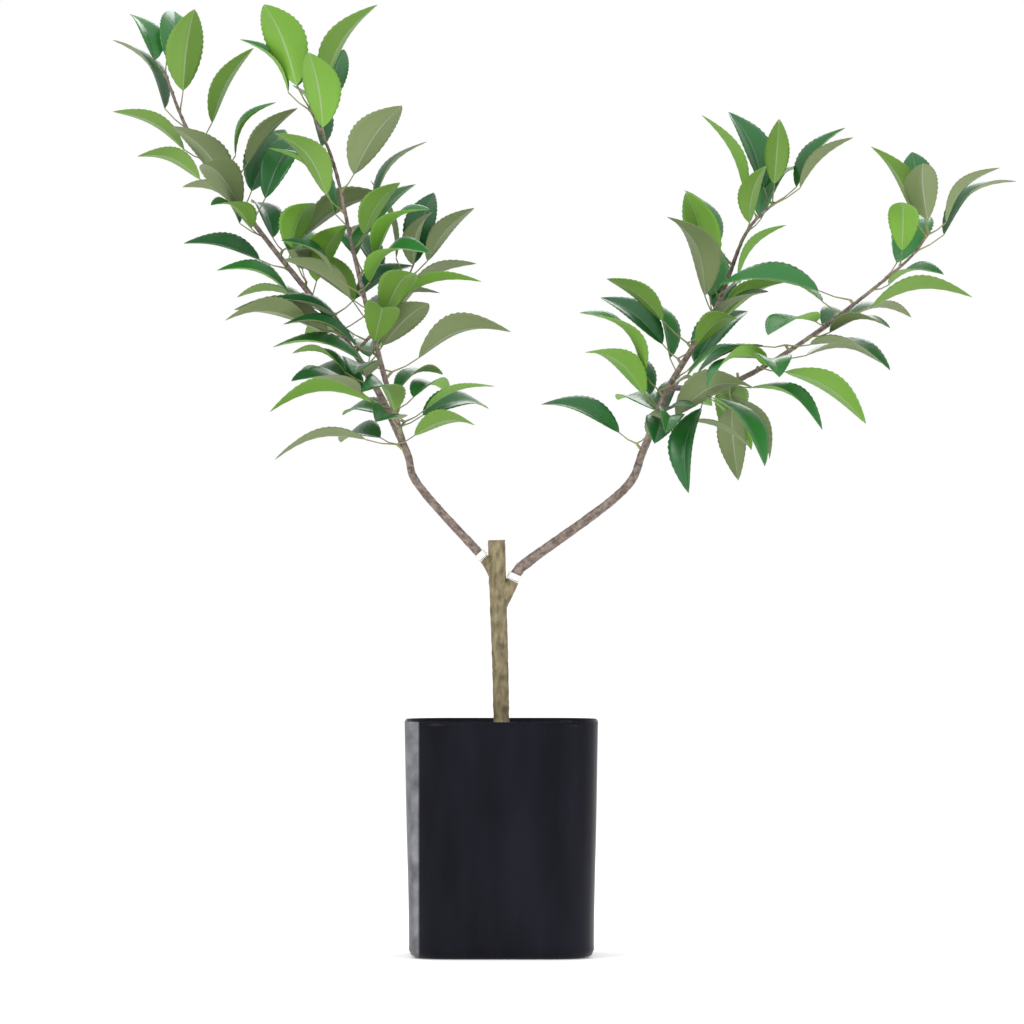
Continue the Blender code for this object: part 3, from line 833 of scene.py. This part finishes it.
for mass in MASSES:
    dice = random.Random(mass.seed)
    tones = random.Random(mass.seed + TONE_SEED)
    bearing = math.radians(mass.bearing)
    blades = bmesh.new()
    rods = round_curve(mass.name + "_stalks", STALK_RESOLUTION)
    for number, (limb, start, end) in enumerate(mass.stretches):
        wood = barked(f"{mass.name}_wood_{number}", limb, start, end, scion_bark)
        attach(wood, "root")
        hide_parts(mass.name)
        grown = []
        buds = max(1, round((end - start) * limb.length / BUD_EVERY))
        for i in range(buds):
            share = mix(start, end, (i + BUD_PLACE) / buds)
            grown += grow_bud(mass, limb, share, bearing, dice, rods)
            bearing += BUD_TURN + dice.uniform(-BUD_STRAY, BUD_STRAY)
        if end == 1:
            grown += grow_tip(mass, limb, bearing, dice)
        for leaf in grown:
            fine_blade(blades, leaf, tones.randrange(len(UPPER_TONES)))
            knee = leaf.root.lerp(leaf.base, 0.5) - Vector((0, 0, STALK_SAG))
            thick, thin = STALK_RADIUS * STALK_FOOT, STALK_RADIUS * STALK_NECK
            thread(rods, [(leaf.root, thick), (knee, thin), (leaf.base, thin)])
    blade_mesh = bpy.data.meshes.new(mass.name + "_blades")
    blades.to_mesh(blade_mesh)
    blades.free()
    for material in leaf_materials:
        blade_mesh.materials.append(material)
    foliage = placed(mass.name + "_blades", blade_mesh)
    skin = foliage.modifiers.new("skin", "SOLIDIFY")
    skin.thickness = BLADE_SKIN
    skin.material_offset = 1
    skin.material_offset_rim = 1
    rods.materials.append(stalk_green)
    stalks = placed(mass.name + "_stalks", rods)
    for piece in (foliage, stalks):
        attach(piece, "root")
    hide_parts(mass.name)

# The studio is a pale floor in a white room, with soft light from above and both sides. The camera is
# level and far off, as the photo's is.
FLOOR_HALF = 40.0
FLOOR_BELOW = 0.0005
FLOOR_ROUGHNESS = 0.9
FLOOR_TONE = (0.93, 0.93, 0.93)
FLOOR_GLOW = 0.18
WHITE = (1, 1, 1, 1)
ROOM_LIGHT = 1.0
LAMPS = (  # each with its place, its power in watts and its width
    ("key", (-1.6, -2.2, 2.4), 42, 1.4),
    ("fill", (2.0, -1.6, 1.2), 16, 1.6),
    ("back", (0.3, 2.2, 2.0), 14, 1.2),
)
LAMPS_AIM = Vector((0, 0, 0.5))
CAMERA_DISTANCE = 9.0
CAMERA_ACROSS = 0.0105
CAMERA_HIGH = 0.443
VIEW_HEIGHT = 1.024  # what the view takes in at the tree
floor_material, _, floor_shader = blank_material("floor", FLOOR_ROUGHNESS)
floor_shader.inputs["Base Color"].default_value = (*FLOOR_TONE, 1)
floor_shader.inputs["Emission Color"].default_value = WHITE
floor_shader.inputs["Emission Strength"].default_value = FLOOR_GLOW
bm = bmesh.new()
bmesh.ops.create_grid(bm, x_segments=1, y_segments=1, size=FLOOR_HALF)
floor = put("floor", bm, floor_material)
floor.location.z = -FLOOR_BELOW
world = bpy.data.worlds.new("studio")
world.use_nodes = True
world.node_tree.nodes["Background"].inputs["Color"].default_value = WHITE
world.node_tree.nodes["Background"].inputs["Strength"].default_value = ROOM_LIGHT
bpy.context.scene.world = world
for name, place, power, size in LAMPS:
    light = bpy.data.lights.new(name, "AREA")
    light.energy = power
    light.size = size
    lamp = placed(name, light)
    lamp.location = place
    lamp.rotation_mode = "QUATERNION"
    lamp.rotation_quaternion = (LAMPS_AIM - Vector(place)).to_track_quat("-Z", "Y")
lens = bpy.data.cameras.new("camera")
lens.lens = lens.sensor_width * CAMERA_DISTANCE / VIEW_HEIGHT
camera = placed("camera", lens)
camera.location = (CAMERA_ACROSS, -CAMERA_DISTANCE, CAMERA_HIGH)
camera.rotation_euler = (math.pi / 2, 0, 0)
bpy.context.scene.camera = camera
bpy.context.scene.view_settings.view_transform = "Standard"
